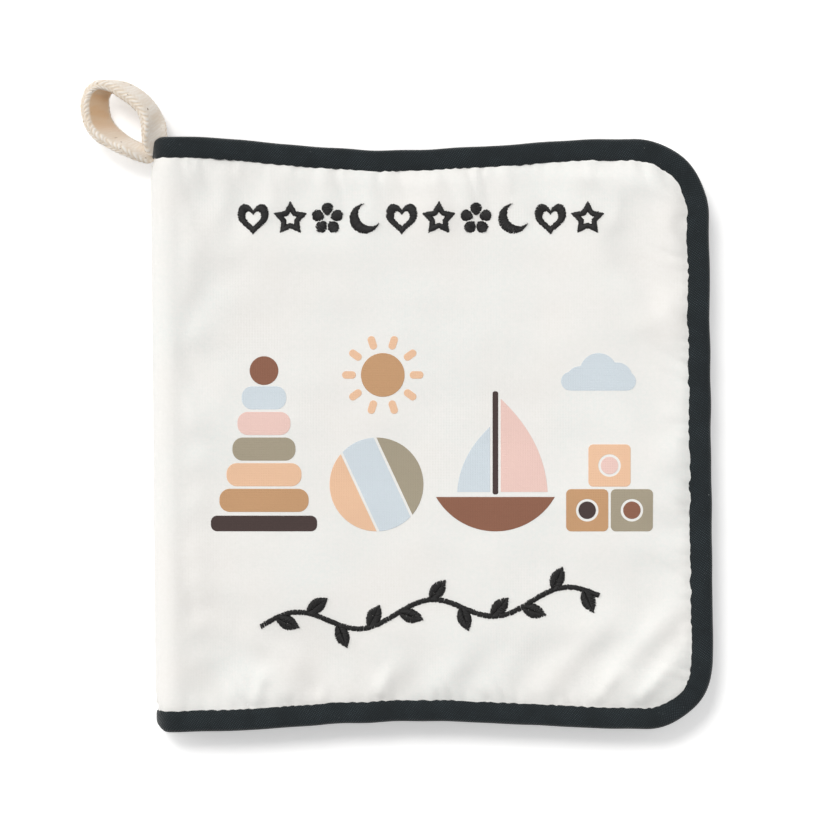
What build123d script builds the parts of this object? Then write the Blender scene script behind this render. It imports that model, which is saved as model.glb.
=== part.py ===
"""A soft cloth crinkle book: padded cloth covers bound with twill tape, a page
spread sewn in along the spine, and a hanging loop at the spine's head.

The book lies closed on its back cover. The origin is the middle of the back
cover's underside. +X runs from the spine to the fore-edge, +Y to the head and
+Z up, out of the front cover. All sizes are in millimetres.
"""

import os
from math import atan2, degrees, pi, sin

from build123d import *

# Outline of a cover: head and tail edges are drawn in between their ends
cover_width = 179.0
spine_length = 190.4
head_corner_drop = 0.7
tail_corner_drop = 1.0
head_waist_drop = 4.2
tail_waist_drop = 3.5
head_waist_place = 67.0
tail_waist_place = 80.0
head_corner_radius = 24.0
tail_corner_radius = 22.0
least_corner_radius = 2.0

# Make-up of a cover panel, thin where it is sewn and puffed up between
panel_thickness = 4.0
panel_seam_thickness = 2.0
cloth_thickness = 0.4
film_thickness = 0.12
slope_width = 8.0
shoulder_inset = 2.6
shoulder_share = 0.7

# Binding tape
tape_width = 6.4
tape_thickness = 0.6
tape_edge_round = 0.9

# Page spread
page_inset = 3.0
page_thickness = 3.2
page_seam_thickness = 1.6
page_tape_thickness = 0.5
leaf_gap = 0.3

# Spine's slit, where the covers part as they turn, and the stitches across it
spine_slit = 0.6
thread_diameter = 0.4
stitch_length = 3.0
stitch_gap = 1.1
stitch_clearance = 0.3

# Hanging loop
loop_tape_width = 9.5
loop_tape_thickness = 1.8
loop_set_back = 1.5
loop_radius = 11.0
loop_throat_radius = 3.5
loop_reach = 18.5
loop_clearance = 0.35

# Embroidery on the front cover
embroidery_thickness = 0.5
satin_width = 2.1
motif_size = 10.0
motif_outline_share = 2.6
motif_count = 10
motif_row_width = 107.0
motif_row_x = -3.0
motif_row_drop = 26.2
vine_length = 108.0
vine_rise = 10.0
vine_wave = 3.6
vine_waves = 2.5
vine_lift = 38.7
vine_leaf_length = 8.0
vine_leaf_width = 4.4
vine_leaf_angle = 48.0
vine_leaf_count = 11
vine_stem_steps = 10

# Printed toys on the front cover
ink_thickness = 0.15
ink_gap = 0.8
toy_base_y = -31.0
stack_x = -53.0
stack_base_width = 34.0
stack_base_height = 5.0
stack_ring_height = 8.2
stack_taper = 0.84
stack_knob_radius = 4.6
ball_x = -17.0
ball_radius = 15.0
ball_band_width = 11.0
ball_tilt = 25.0
sun_x = -15.0
sun_y = 19.0
sun_radius = 7.0
sun_ray_count = 10
sun_ray_length = 4.4
sun_ray_width = 2.4
boat_x = 21.0
boat_length = 38.0
boat_depth = 11.0
mast_height = 44.0
mast_width = 1.8
sail_width = 15.0
small_sail_share = 0.7
block_x = 57.5
block_size = 13.5
dot_radius = 2.8
cloud_x = 54.0
cloud_y = 20.0
cloud_radius = 6.0

# Places worked out from the sizes
page_middle = (page_thickness + leaf_gap) / 2
fold_radius = page_middle + page_thickness / 2 + leaf_gap + panel_thickness / 2
book_height = 2 * fold_radius + panel_thickness
middle = book_height / 2
cover_middle = middle + fold_radius
panel_rise = panel_thickness / 2
seam_rise = panel_seam_thickness / 2
tape_rise = seam_rise + tape_thickness
page_rise = page_thickness / 2
page_seam_rise = page_seam_thickness / 2
page_tape_rise = page_seam_rise + page_tape_thickness
motif_row_y = spine_length / 2 - motif_row_drop
vine_y = vine_lift - spine_length / 2
spine_x = -cover_width / 2
fore_x = cover_width / 2
head_y = spine_length / 2
tail_y = -spine_length / 2
fold_x = spine_x + fold_radius + tape_rise
page_fold_x = fold_x - fold_radius + tape_rise + leaf_gap + page_middle + page_tape_rise
book_middle = Plane.XY.offset(middle)
cover_face = Plane.XY.offset(book_height)


def leaf_face(inset, start_x):
    """A leaf's outline from the fold at start_x, drawn in by inset on its free sides."""
    side_x = fore_x - inset
    head_radius = max(head_corner_radius - inset, least_corner_radius)
    tail_radius = max(tail_corner_radius - inset, least_corner_radius)
    head_end = head_y - head_corner_drop - inset
    tail_end = tail_y + tail_corner_drop + inset
    head_waist = (spine_x + head_waist_place, head_y - head_waist_drop - inset)
    tail_waist = (spine_x + tail_waist_place, tail_y + tail_waist_drop + inset)
    along = [(1, 0), (1, 0)]
    back = [(-1, 0), (-1, 0)]
    with BuildSketch() as face:
        with BuildLine():
            head_edge = Spline(
                (start_x, head_y - inset), head_waist, (side_x - head_radius, head_end), tangents=along
            )
            head_corner = TangentArc(head_edge @ 1, (side_x, head_end - head_radius), tangent=(1, 0))
            fore_edge = Line(head_corner @ 1, (side_x, tail_end + tail_radius))
            tail_corner = TangentArc(fore_edge @ 1, (side_x - tail_radius, tail_end), tangent=(0, -1))
            tail_edge = Spline(tail_corner @ 1, tail_waist, (start_x, tail_y + inset), tangents=back)
            Line(tail_edge @ 1, head_edge @ 0)
        make_face()
    return face.sketch


def pad(edge_inset, seam_inset, start_x, edge_rise, middle_rise):
    """Half of a puffed leaf, from its middle plane to its face.

    The flat seam allowance runs to edge_inset. Inside seam_inset the face
    climbs to a shoulder and then to the flat middle of the panel.
    """
    shoulder_rise = edge_rise + shoulder_share * (middle_rise - edge_rise)
    steps = [(0, edge_rise), (shoulder_inset, shoulder_rise), (slope_width, middle_rise)]
    with BuildPart() as half:
        with BuildSketch():
            add(leaf_face(edge_inset, start_x))
        extrude(amount=edge_rise)
        for (inset, rise), (next_inset, next_rise) in zip(steps, steps[1:]):
            with BuildSketch(Plane.XY.offset(rise)):
                add(leaf_face(seam_inset + inset, start_x + inset))
            with BuildSketch(Plane.XY.offset(next_rise)):
                add(leaf_face(seam_inset + next_inset, start_x + next_inset))
            loft(ruled=True)
    return half.part


def fold_section(centre_x, inner, outer, slit):
    """The spine's fold in the XZ plane: the quarter of a ring above the slit."""
    with BuildSketch(Plane.XZ) as section:
        with Locations((centre_x, middle)):
            Circle(outer)
            Circle(inner, mode=Mode.SUBTRACT)
        with Locations((centre_x, middle + slit / 2)):
            Rectangle(2 * outer, 2 * outer, align=(Align.MAX, Align.MIN), mode=Mode.INTERSECT)
    return section.sketch


def panel_layer(lower, upper):
    """One layer of the front cover between two faces, with its share of the fold.

    Each face is a pair: its rise over the panel's middle plane at the seam,
    and in the middle of the panel. The faces lie on either side of the middle
    plane only in the wadding.
    """
    lower_pad = pad(tape_thickness, tape_width, fold_x, *lower)
    upper_pad = pad(tape_thickness, tape_width, fold_x, *upper)
    cloth_half_length = head_y - tape_thickness
    with BuildPart() as layer:
        with Locations((0, 0, cover_middle)):
            if lower[0] < 0 < upper[0]:
                add(lower_pad)
                add(upper_pad)
            elif lower[0] > 0:
                add(upper_pad)
                add(lower_pad, mode=Mode.SUBTRACT)
            else:
                add(lower_pad)
                add(upper_pad, mode=Mode.SUBTRACT)
        with BuildSketch(Plane.XZ):
            add(fold_section(fold_x, fold_radius + lower[0], fold_radius + upper[0], spine_slit))
        extrude(amount=cloth_half_length, both=True)
    return layer.part


def tape_half_ring(leaf_plane_z, edge_inset, start_x, outer_rise, inner_rise, cloth_inset, slit):
    """Tape folded over one leaf's free edges and round the upper half of the fold.

    The rises are the tape's outer and inner faces over the leaf's middle plane.
    """
    radius = leaf_plane_z - middle
    edge = head_y - edge_inset
    low, thick = leaf_plane_z - outer_rise, 2 * outer_rise
    with BuildPart() as tape:
        with BuildSketch(Plane.XY.offset(low)):
            add(leaf_face(edge_inset, start_x))
        extrude(amount=thick)
        with BuildSketch(Plane.XZ):
            add(fold_section(start_x, radius - outer_rise, radius + outer_rise, slit))
        extrude(amount=edge, both=True)
        curved_rim = tape.edges().filter_by(GeomType.LINE, reverse=True)
        straight_rim = tape.edges().filter_by(Axis.Y).group_by(Axis.X)[-1]
        fillet(curved_rim + straight_rim, tape_edge_round * outer_rise / tape_rise)
        with BuildSketch(Plane.XY.offset(low)):
            add(leaf_face(edge_inset + tape_width, start_x))
        extrude(amount=thick, mode=Mode.SUBTRACT)
        with BuildSketch(Plane.XZ):
            add(fold_section(start_x, radius - outer_rise, radius + outer_rise, slit))
        extrude(amount=edge - tape_width, both=True, mode=Mode.SUBTRACT)
        with BuildSketch(Plane.XY.offset(leaf_plane_z - inner_rise)):
            add(leaf_face(cloth_inset, start_x))
        extrude(amount=2 * inner_rise, mode=Mode.SUBTRACT)
        with BuildSketch(Plane.XZ):
            add(fold_section(start_x, radius - inner_rise, radius + inner_rise, slit))
        extrude(amount=head_y - cloth_inset, both=True, mode=Mode.SUBTRACT)
    return tape.part


def heart(size):
    """A heart, its two lobes drawn as curves from the notch to the tip."""
    half = size / 2
    notch_height, lobe_height, flank_height, waist_depth = 0.5 * half, 1.15 * half, 0.25 * half, 0.6 * half
    inner_reach = 0.3 * half
    notch, tip = (0, notch_height), (0, -half)
    with BuildSketch() as face:
        with BuildLine():
            for side in (1, -1):
                flank = (side * half, flank_height)
                Bezier(notch, (side * inner_reach, lobe_height), (side * half, lobe_height), flank)
                Bezier(flank, (side * half, -inner_reach), (side * inner_reach, -waist_depth), tip)
        make_face()
    return face.sketch


def star(size):
    """A five-pointed star with plump points."""
    tip_count = 5
    tip_radius, valley_radius = size * 0.56, size * 0.31
    radii = (tip_radius, valley_radius)
    half_step = 180 / tip_count
    corners = [Vector(0, radii[turn % 2]).rotate(Axis.Z, turn * half_step) for turn in range(2 * tip_count)]
    with BuildSketch() as face:
        with BuildLine():
            Polyline(*corners, close=True)
        make_face()
    return face.sketch


def flower(size):
    """Five round petals about an open middle."""
    petal_count = 5
    petal_ring, petal_radius, heart_radius, eye_radius = size * 0.28, size * 0.22, size * 0.2, size * 0.11
    with BuildSketch() as face:
        with PolarLocations(petal_ring, petal_count, start_angle=90):
            Circle(petal_radius)
        Circle(heart_radius)
        Circle(eye_radius, mode=Mode.SUBTRACT)
    return face.sketch


def outlined(shape, size):
    """A motif worked as an outline, so that the cloth shows inside it."""
    with BuildSketch() as face:
        add(shape(size))
        add(shape(size - motif_outline_share * satin_width), mode=Mode.SUBTRACT)
    return face.sketch


def moon(size):
    """A crescent, tilted on its back."""
    disc_radius, bite_radius, bite_x, bite_y = size * 0.48, size * 0.4, size * 0.2, size * 0.16
    with BuildSketch() as face:
        Circle(disc_radius)
        with Locations((bite_x, bite_y)):
            Circle(bite_radius, mode=Mode.SUBTRACT)
    return face.sketch


def pointed_leaf(length, width):
    """A leaf from its stalk at the origin, between two arcs."""
    with BuildSketch() as face:
        with BuildLine():
            ThreePointArc((0, 0), (length / 2, width / 2), (length, 0))
            ThreePointArc((length, 0), (length / 2, -width / 2), (0, 0))
        make_face()
    return face.sketch


def vine_point(share):
    """A point of the vine's stem: a rising line with a wave on it."""
    along = (share - 0.5) * vine_length
    wave = vine_wave * sin(2 * pi * vine_waves * share)
    return Vector(along, vine_y + (share - 0.5) * vine_rise + wave)


def stack_ring(level):
    """One ring of the stacking toy, narrower the higher it sits."""
    width = stack_base_width * stack_taper ** (level + 1)
    height = stack_ring_height - ink_gap
    roundness = 0.45
    y = toy_base_y + stack_base_height + ink_gap + (level + 0.5) * stack_ring_height
    with BuildSketch() as face:
        with Locations((stack_x, y)):
            RectangleRounded(width, height, height * roundness)
    return face.sketch


def ball_band(side):
    """The ball's middle band, or what is left of the ball on one side of it."""
    ball_y = toy_base_y + ball_radius
    with BuildSketch() as face:
        with Locations(Location((ball_x, ball_y, 0), (0, 0, ball_tilt))):
            Circle(ball_radius)
            if side == 0:
                Rectangle(ball_band_width, 2 * ball_radius, mode=Mode.INTERSECT)
        if side:
            edge = ball_band_width / 2 + ink_gap
            shift = Vector(side * (edge + ball_radius), 0).rotate(Axis.Z, ball_tilt)
            with Locations(Location((ball_x + shift.X, ball_y + shift.Y, 0), (0, 0, ball_tilt))):
                Rectangle(2 * ball_radius, 2 * ball_radius, mode=Mode.INTERSECT)
    return face.sketch


def sail(side, share):
    """A sail on one side of the mast, with a bellied leech."""
    fullness = 0.72
    low_y = toy_base_y + boat_depth + 2 * ink_gap
    top_y = low_y + share * (mast_height - boat_depth - 4 * ink_gap)
    luff_x = boat_x + side * (mast_width / 2 + ink_gap)
    clew_x = luff_x + side * sail_width * share
    belly = (luff_x + side * sail_width * share * fullness, (low_y + top_y) / 2)
    with BuildSketch() as face:
        with BuildLine():
            Line((luff_x, low_y), (luff_x, top_y))
            ThreePointArc((luff_x, top_y), belly, (clew_x, low_y))
            Line((clew_x, low_y), (luff_x, low_y))
        make_face()
    return face.sketch


def block_middle(column, row):
    """The middle of a building block in its pile: two below, and one across their joint."""
    x = block_x + (column - 0.5 + 0.5 * row) * (block_size + ink_gap)
    y = toy_base_y + (row + 0.5) * block_size + row * ink_gap
    return Vector(x, y)


def toy_block(column, row):
    """A building block with a round window for its dot."""
    roundness = 0.12
    with BuildSketch() as face:
        with Locations(block_middle(column, row)):
            RectangleRounded(block_size, block_size, block_size * roundness)
            Circle(dot_radius + ink_gap, mode=Mode.SUBTRACT)
    return face.sketch


def block_dot(column, row):
    """The dot in a building block's window."""
    with BuildSketch() as face:
        with Locations(block_middle(column, row)):
            Circle(dot_radius)
    return face.sketch


def cloud():
    """A cloud of three puffs over a flat base."""
    base_width, base_round = cloud_radius * 4, cloud_radius * 0.49
    left_radius, left_drop = cloud_radius * 0.7, cloud_radius * 0.4
    right_radius, right_drop = cloud_radius * 0.8, cloud_radius * 0.3
    with BuildSketch() as face:
        with Locations((cloud_x, cloud_y)):
            Circle(cloud_radius)
            RectangleRounded(base_width, cloud_radius, base_round, align=(Align.CENTER, Align.MAX))
        with Locations((cloud_x - cloud_radius, cloud_y - left_drop)):
            Circle(left_radius)
        with Locations((cloud_x + cloud_radius, cloud_y - right_drop)):
            Circle(right_radius)
    return face.sketch


def sun_disc():
    """The sun's disc."""
    with BuildSketch() as face:
        with Locations((sun_x, sun_y)):
            Circle(sun_radius)
    return face.sketch


def sun_rays():
    """Rounded rays in a ring about the sun's disc."""
    with BuildSketch() as face:
        with Locations((sun_x, sun_y)):
            with PolarLocations(sun_radius + 2 * ink_gap + sun_ray_length / 2, sun_ray_count):
                SlotOverall(sun_ray_length, sun_ray_width)
    return face.sketch


def boat_hull():
    """The boat's hull: a flat deck over a round keel."""
    deck_y = toy_base_y + boat_depth
    with BuildSketch() as face:
        with BuildLine():
            Line((boat_x - boat_length / 2, deck_y), (boat_x + boat_length / 2, deck_y))
            ThreePointArc(
                (boat_x + boat_length / 2, deck_y), (boat_x, toy_base_y), (boat_x - boat_length / 2, deck_y)
            )
        make_face()
    return face.sketch


def mast():
    """The boat's mast, standing on the deck."""
    tip_round = mast_width * 0.4
    height = mast_height - boat_depth
    with BuildSketch() as face:
        with Locations((boat_x, toy_base_y + boat_depth + ink_gap)):
            RectangleRounded(mast_width, height, tip_round, align=(Align.CENTER, Align.MIN))
    return face.sketch


def stack_base():
    """The stacking toy's foot."""
    corner = stack_base_height * 0.4
    with BuildSketch() as face:
        with Locations((stack_x, toy_base_y)):
            RectangleRounded(stack_base_width, stack_base_height, corner, align=(Align.CENTER, Align.MIN))
    return face.sketch


def stack_knob(levels):
    """The round knob on top of the stacking toy's rings."""
    y = toy_base_y + stack_base_height + ink_gap + levels * stack_ring_height + stack_knob_radius
    with BuildSketch() as face:
        with Locations((stack_x, y)):
            Circle(stack_knob_radius)
    return face.sketch


os.makedirs("parts", exist_ok=True)

# Front cover: four layers, each between two faces of the puffed panel
cloth_top = (seam_rise, panel_rise)
cloth_under = (seam_rise - cloth_thickness, panel_rise - cloth_thickness)
lining_under = (-seam_rise, -panel_rise)
lining_top = (cloth_thickness - seam_rise, cloth_thickness - panel_rise)
film_top = (lining_top[0] + film_thickness, lining_top[1] + film_thickness)

with BuildPart() as front_cover_cloth:
    add(panel_layer(cloth_under, cloth_top))
front_cover_cloth.part.label = "front_cover_cloth"

with BuildPart() as front_cover_wadding:
    add(panel_layer(film_top, cloth_under))
front_cover_wadding.part.label = "front_cover_wadding"

with BuildPart() as front_cover_film:
    add(panel_layer(lining_top, film_top))
front_cover_film.part.label = "front_cover_film"

with BuildPart() as front_cover_lining:
    add(panel_layer(lining_under, lining_top))
front_cover_lining.part.label = "front_cover_lining"

with BuildPart() as front_cover_binding:
    add(tape_half_ring(cover_middle, 0, fold_x, tape_rise, seam_rise, tape_thickness, spine_slit))
front_cover_binding.part.label = "front_cover_binding"

# Back cover: the same panel turned over
with BuildPart() as back_cover_cloth:
    mirror(front_cover_cloth.part, about=book_middle)
back_cover_cloth.part.label = "back_cover_cloth"

with BuildPart() as back_cover_wadding:
    mirror(front_cover_wadding.part, about=book_middle)
back_cover_wadding.part.label = "back_cover_wadding"

with BuildPart() as back_cover_film:
    mirror(front_cover_film.part, about=book_middle)
back_cover_film.part.label = "back_cover_film"

with BuildPart() as back_cover_lining:
    mirror(front_cover_lining.part, about=book_middle)
back_cover_lining.part.label = "back_cover_lining"

with BuildPart() as back_cover_binding:
    mirror(front_cover_binding.part, about=book_middle)
back_cover_binding.part.label = "back_cover_binding"

# Page spread: one padded leaf over another, joined by their fold at the spine
page_plane_z = middle + page_middle
page_cloth_inset = page_inset + page_tape_thickness
page_seam_inset = page_inset + tape_width
upper_half = pad(page_cloth_inset, page_seam_inset, page_fold_x, page_seam_rise, page_rise)
lower_half = pad(page_cloth_inset, page_seam_inset, page_fold_x, -page_seam_rise, -page_rise)

with BuildPart() as pages:
    with Locations((0, 0, page_plane_z)):
        add(upper_half)
        add(lower_half)
    with BuildSketch(Plane.XZ):
        add(fold_section(page_fold_x, page_middle - page_seam_rise, page_middle + page_seam_rise, 0))
    extrude(amount=head_y - page_cloth_inset, both=True)
    mirror(about=book_middle)
pages.part.label = "pages"

with BuildPart() as page_binding:
    add(
        tape_half_ring(
            page_plane_z, page_inset, page_fold_x, page_tape_rise, page_seam_rise, page_cloth_inset, 0
        )
    )
    mirror(about=book_middle)
page_binding.part.label = "page_binding"

# Stitches down the spine: each lies across the fold's slit and dips in at both ends
stitch_out_x = fold_x - fold_radius - seam_rise - thread_diameter / 2
stitch_in_x = page_fold_x - page_middle - page_tape_rise - stitch_clearance
stitch_pitch = stitch_length + stitch_gap
stitch_count = int((spine_length - 2 * tape_thickness) / stitch_pitch)

with BuildPart() as spine_stitching:
    with BuildSketch(Plane.XY.offset(middle - thread_diameter / 2)):
        with GridLocations(0, stitch_pitch, 1, stitch_count):
            with Locations((stitch_out_x, 0)):
                Rectangle(stitch_in_x - stitch_out_x, stitch_length, align=(Align.MIN, Align.CENTER))
            with Locations((stitch_out_x + thread_diameter, 0)):
                Rectangle(
                    stitch_in_x - stitch_out_x,
                    stitch_length - 2 * thread_diameter,
                    align=(Align.MIN, Align.CENTER),
                    mode=Mode.SUBTRACT,
                )
    extrude(amount=thread_diameter)
spine_stitching.part.label = "spine_stitching"

# Hanging loop: a flat tape on edge, its two ends sewn into the back cover's half of the fold
cavity_radius = fold_radius - tape_rise - leaf_gap
stub_left_x = fold_x - loop_set_back
stub_depth = (cavity_radius**2 - loop_set_back**2) ** 0.5
stub_middle_x = stub_left_x + loop_tape_thickness
stub_root_y = head_y - page_inset + leaf_gap
loop_low_y = head_y + loop_clearance
loop_x = stub_middle_x - loop_reach
loop_y = loop_low_y + loop_radius

with BuildPart() as hanging_loop:
    with BuildSketch(Plane.XY.offset(middle)):
        with Locations((loop_x, loop_y)):
            Circle(loop_radius)
        with Locations((stub_middle_x, loop_low_y + loop_throat_radius)):
            Circle(loop_throat_radius)
        make_hull()
        offset(amount=-loop_tape_thickness, mode=Mode.SUBTRACT)
    extrude(amount=loop_tape_width / 2, both=True)
    with BuildSketch(Plane.XY.offset(middle)):
        with Locations((stub_middle_x, stub_root_y)):
            Rectangle(
                2 * loop_tape_thickness,
                loop_low_y + loop_tape_thickness - stub_root_y,
                align=(Align.CENTER, Align.MIN),
            )
    extrude(amount=-stub_depth)
hanging_loop.part.label = "hanging_loop"

# Embroidery: a row of small motifs above the print and a leafy vine below it
motif_pitch = motif_row_width / (motif_count - 1)
motif_kinds = [
    outlined(heart, motif_size),
    outlined(star, motif_size),
    flower(motif_size),
    moon(motif_size),
]

with BuildPart() as upper_embroidery:
    with BuildSketch(cover_face):
        for place in range(motif_count):
            kind = motif_kinds[place % len(motif_kinds)]
            x = motif_row_x + (place - (motif_count - 1) / 2) * motif_pitch
            with Locations((x, motif_row_y)):
                add(kind)
    extrude(amount=embroidery_thickness)
upper_embroidery.part.label = "upper_embroidery"

stem_points = [vine_point(turn / vine_stem_steps) for turn in range(vine_stem_steps + 1)]

with BuildPart() as lower_embroidery:
    with BuildSketch(cover_face):
        with BuildLine(cover_face) as stem:
            Spline(*stem_points)
        trace(line_width=satin_width)
        for place in range(vine_leaf_count):
            share = (place + 0.5) / vine_leaf_count
            side = 1 if place % 2 else -1
            root = vine_point(share)
            ahead = vine_point(share + 0.1 / vine_leaf_count) - root
            turn = degrees(atan2(ahead.Y, ahead.X)) + side * vine_leaf_angle
            with Locations(Location((root.X, root.Y, 0), (0, 0, turn))):
                add(pointed_leaf(vine_leaf_length, vine_leaf_width))
    extrude(amount=embroidery_thickness)
lower_embroidery.part.label = "lower_embroidery"

# Print: one thin field of ink for each colour, laid side by side on the cloth
ring_inks = ["print_tan", "print_peach", "print_khaki", "print_pink", "print_pale_blue"]
ink_shapes = {
    "print_dark_brown": [stack_base(), mast(), block_dot(0, 0)],
    "print_brown": [stack_knob(len(ring_inks)), boat_hull(), block_dot(1, 0)],
    "print_tan": [sun_disc(), toy_block(0, 0)],
    "print_peach": [ball_band(-1), sun_rays(), toy_block(0, 1)],
    "print_khaki": [ball_band(1), toy_block(1, 0)],
    "print_pink": [sail(1, 1.0), block_dot(0, 1)],
    "print_pale_blue": [ball_band(0), sail(-1, small_sail_share), cloud()],
}
for level, label in enumerate(ring_inks):
    ink_shapes[label].append(stack_ring(level))
prints = []
for label, shapes in ink_shapes.items():
    with BuildPart() as ink:
        with BuildSketch(cover_face):
            for shape in shapes:
                add(shape)
        extrude(amount=ink_thickness)
    ink.part.label = label
    prints.append(ink)

pieces = [front_cover_cloth, front_cover_wadding, front_cover_film, front_cover_lining, front_cover_binding]
pieces += [back_cover_cloth, back_cover_wadding, back_cover_film, back_cover_lining, back_cover_binding]
pieces += [pages, page_binding, spine_stitching, hanging_loop, upper_embroidery, lower_embroidery]
for piece in pieces + prints:
    export_step(piece.part, "parts/" + piece.part.label + ".step")
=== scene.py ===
"""A soft cloth crinkle book, dressed over its fixed frame.

Covers, pages and tape are worked out on the cloth laid flat: p runs from the
spine's stitch line over a leaf to the fore-edge, q runs from tail to head, and
h stands off the leaf's middle plane, away from the middle of the book. One
function folds them round the spine. Lengths are worked out in millimetres,
and new_mesh turns them to the frame's metres.
"""
import math

import bmesh
import bpy
import numpy as np
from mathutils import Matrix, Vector


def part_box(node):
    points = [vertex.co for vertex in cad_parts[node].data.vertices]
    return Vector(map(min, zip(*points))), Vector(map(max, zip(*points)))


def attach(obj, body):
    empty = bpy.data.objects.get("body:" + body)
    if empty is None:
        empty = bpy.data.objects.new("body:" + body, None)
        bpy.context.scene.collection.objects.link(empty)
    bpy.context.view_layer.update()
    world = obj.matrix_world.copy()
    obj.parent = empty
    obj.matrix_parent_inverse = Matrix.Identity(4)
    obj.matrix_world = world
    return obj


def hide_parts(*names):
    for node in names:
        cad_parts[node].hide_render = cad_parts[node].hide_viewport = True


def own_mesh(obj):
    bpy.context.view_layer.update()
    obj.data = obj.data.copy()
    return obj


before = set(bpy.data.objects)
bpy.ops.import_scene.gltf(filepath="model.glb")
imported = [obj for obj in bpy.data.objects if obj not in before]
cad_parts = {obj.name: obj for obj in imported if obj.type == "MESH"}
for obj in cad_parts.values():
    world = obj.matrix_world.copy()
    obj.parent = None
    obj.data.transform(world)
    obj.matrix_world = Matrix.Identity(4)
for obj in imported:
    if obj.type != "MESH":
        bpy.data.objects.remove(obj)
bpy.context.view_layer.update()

mm = 0.001
full_turn = 2 * math.pi

# Places read from the frame, in millimetres
cover_low, cover_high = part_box("front_cover_binding")
spine_x = cover_low.x / mm
fore_x = cover_high.x / mm - 0.5
tail_y, head_y = cover_low.y / mm, cover_high.y / mm
book_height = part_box("front_cover_cloth")[1].z / mm
middle = book_height / 2

# Make-up of the covers and pages
panel_thickness = 4.0
seam_rise = 1.0
tape_rise = 1.6
cloth_thickness = 0.4
film_thickness = 0.12
tape_width = 6.9
tape_overhang = 0.25
tape_thickness = 0.6
cloth_inset = 0.6
page_seam_rise = 0.8
page_rise = 1.6
page_tape_rise = 1.3
page_inset = 3.0
cover_start = 0.3  # from the stitch line to the slit's edge
turn_in = 1.6
pucker_inset = tape_width - 0.6
wadding_gap = 0.75
spine_lean = 1.8
spine_radius = 3.2

# A cover's head and tail: y at the spine, waist, drop at the corner, corner radius, and which way is out
head = {"y": head_y, "waist": (spine_x + 67, head_y - 4.2), "drop": 0.7, "radius": 24, "out": 1}
tail = {"y": tail_y, "waist": (spine_x + 80, tail_y + 3.5), "drop": 1.0, "radius": 22, "out": -1}

cover_radius = middle - panel_thickness / 2
page_low, page_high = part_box("pages")
page_radius = page_high.z / mm - middle - page_rise
cover_fold = {"radius": cover_radius, "x": spine_x + cover_radius + tape_rise}
page_fold = {"radius": page_radius, "x": page_low.x / mm + page_radius + page_seam_rise}


def cubic(t, low, high, rise, last_rise):
    """A cubic from one value to another as t goes from 0 to 1, with a slope at each end."""
    bend = t * (1 - t) * ((1 - t) * rise - t * last_rise)
    return (1 + 2 * t) * (1 - t) ** 2 * low + t * t * (3 - 2 * t) * high + bend


def waist_curve(x, start, waist, end):
    """A line through three points, level at both ends: two cubics that share slope and bend at the waist."""
    first, second = waist[0] - start[0], end[0] - waist[0]
    rise = (waist[1] - start[1]) / first**2 + (end[1] - waist[1]) / second**2
    slope = 1.5 * rise / (1 / first + 1 / second)
    left = cubic(np.clip((x - start[0]) / first, 0, 1), start[1], waist[1], 0, slope * first)
    right = cubic(np.clip((x - waist[0]) / second, 0, 1), waist[1], end[1], slope * second, 0)
    return np.where(x < waist[0], left, right)


def spine_round(x):
    """How far an edge draws in on its way round the fold, to look like a round corner from above."""
    run = np.maximum(x - cover_fold["x"] + quarter(cover_fold), 0)
    turn = np.minimum(run / cover_radius, math.pi / 2)
    short = np.clip(spine_radius - (cover_radius + tape_rise) * (1 - np.cos(turn)), 0, spine_radius)
    return spine_radius - np.sqrt(spine_radius**2 - short**2)


def end_line(x, end):
    """The y of a cover's head or tail edge over x."""
    x = np.asarray(x)
    corner = (fore_x - end["radius"], end["y"] - end["out"] * end["drop"])
    return waist_curve(x, (cover_fold["x"], end["y"]), end["waist"], corner) - end["out"] * spine_round(x)


def leaf_end(x, inset, end):
    """The y of a leaf's head or tail at x, drawn in by inset, with its corner's arc."""
    radius = end["radius"]
    past = np.clip(x - (fore_x - radius), 0, radius - inset)
    return end_line(x, end) - end["out"] * (radius - np.sqrt(np.maximum((radius - inset) ** 2 - past**2, 0)))


def edge_distance(x, y):
    """How far a point lies inside a leaf's three free edges, round the corners as on the straights."""
    inside = np.minimum(np.minimum(end_line(x, head) - y, y - end_line(x, tail)), fore_x - x)
    for end in (head, tail):
        over_x = x - (fore_x - end["radius"])
        over_y = end["out"] * (y - end_line(fore_x, end)) + end["radius"]
        inside = np.where((over_x > 0) & (over_y > 0), end["radius"] - np.hypot(over_x, over_y), inside)
    return inside


def quarter(fold):
    """Length of a fold's quarter turn along its middle plane."""
    return fold["radius"] * math.pi / 2


def flat_x(p, fold):
    """Where p would lie along x if the leaf ran on flat past the fold."""
    return fold["x"] + np.abs(p) - quarter(fold)


def wrap(p, q, h, fold):
    """Folds the flat cloth: a quarter turn, then straight on. The lower leaf has p below zero."""
    turn = np.clip(np.abs(p) / fold["radius"], 0, math.pi / 2)
    reach = fold["radius"] + h
    x = fold["x"] + np.maximum(np.abs(p) - quarter(fold), 0) - reach * np.cos(turn)
    return np.stack([x + lean(q), q, middle + np.sign(p) * reach * np.sin(turn)], axis=-1)


def lean(q):
    """How far the sides lean over, in step with the distance from the head."""
    return spine_lean * (head_y - q) / (head_y - tail_y)


def smooth(t):
    """Rises from 0 to 1 with level ends."""
    t = np.clip(t, 0, 1)
    return t * t * (3 - 2 * t)


def bell(t):
    """A bell that is 1 at 0 and dies away on both sides."""
    return np.exp(-(t**2))


def ripple(s, wavelength, seed, voices=5):
    """An uneven wave: sines near one wavelength, with chance phases, added and scaled to about one."""
    draw = np.random.default_rng(seed)
    spread = draw.uniform(0.6, 1.7, voices)
    phase = draw.uniform(0, full_turn, voices)
    waves = [np.sin(full_turn * s / (wavelength * k) + a) for k, a in zip(spread, phase)]
    return sum(waves) / math.sqrt(voices)


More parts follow.
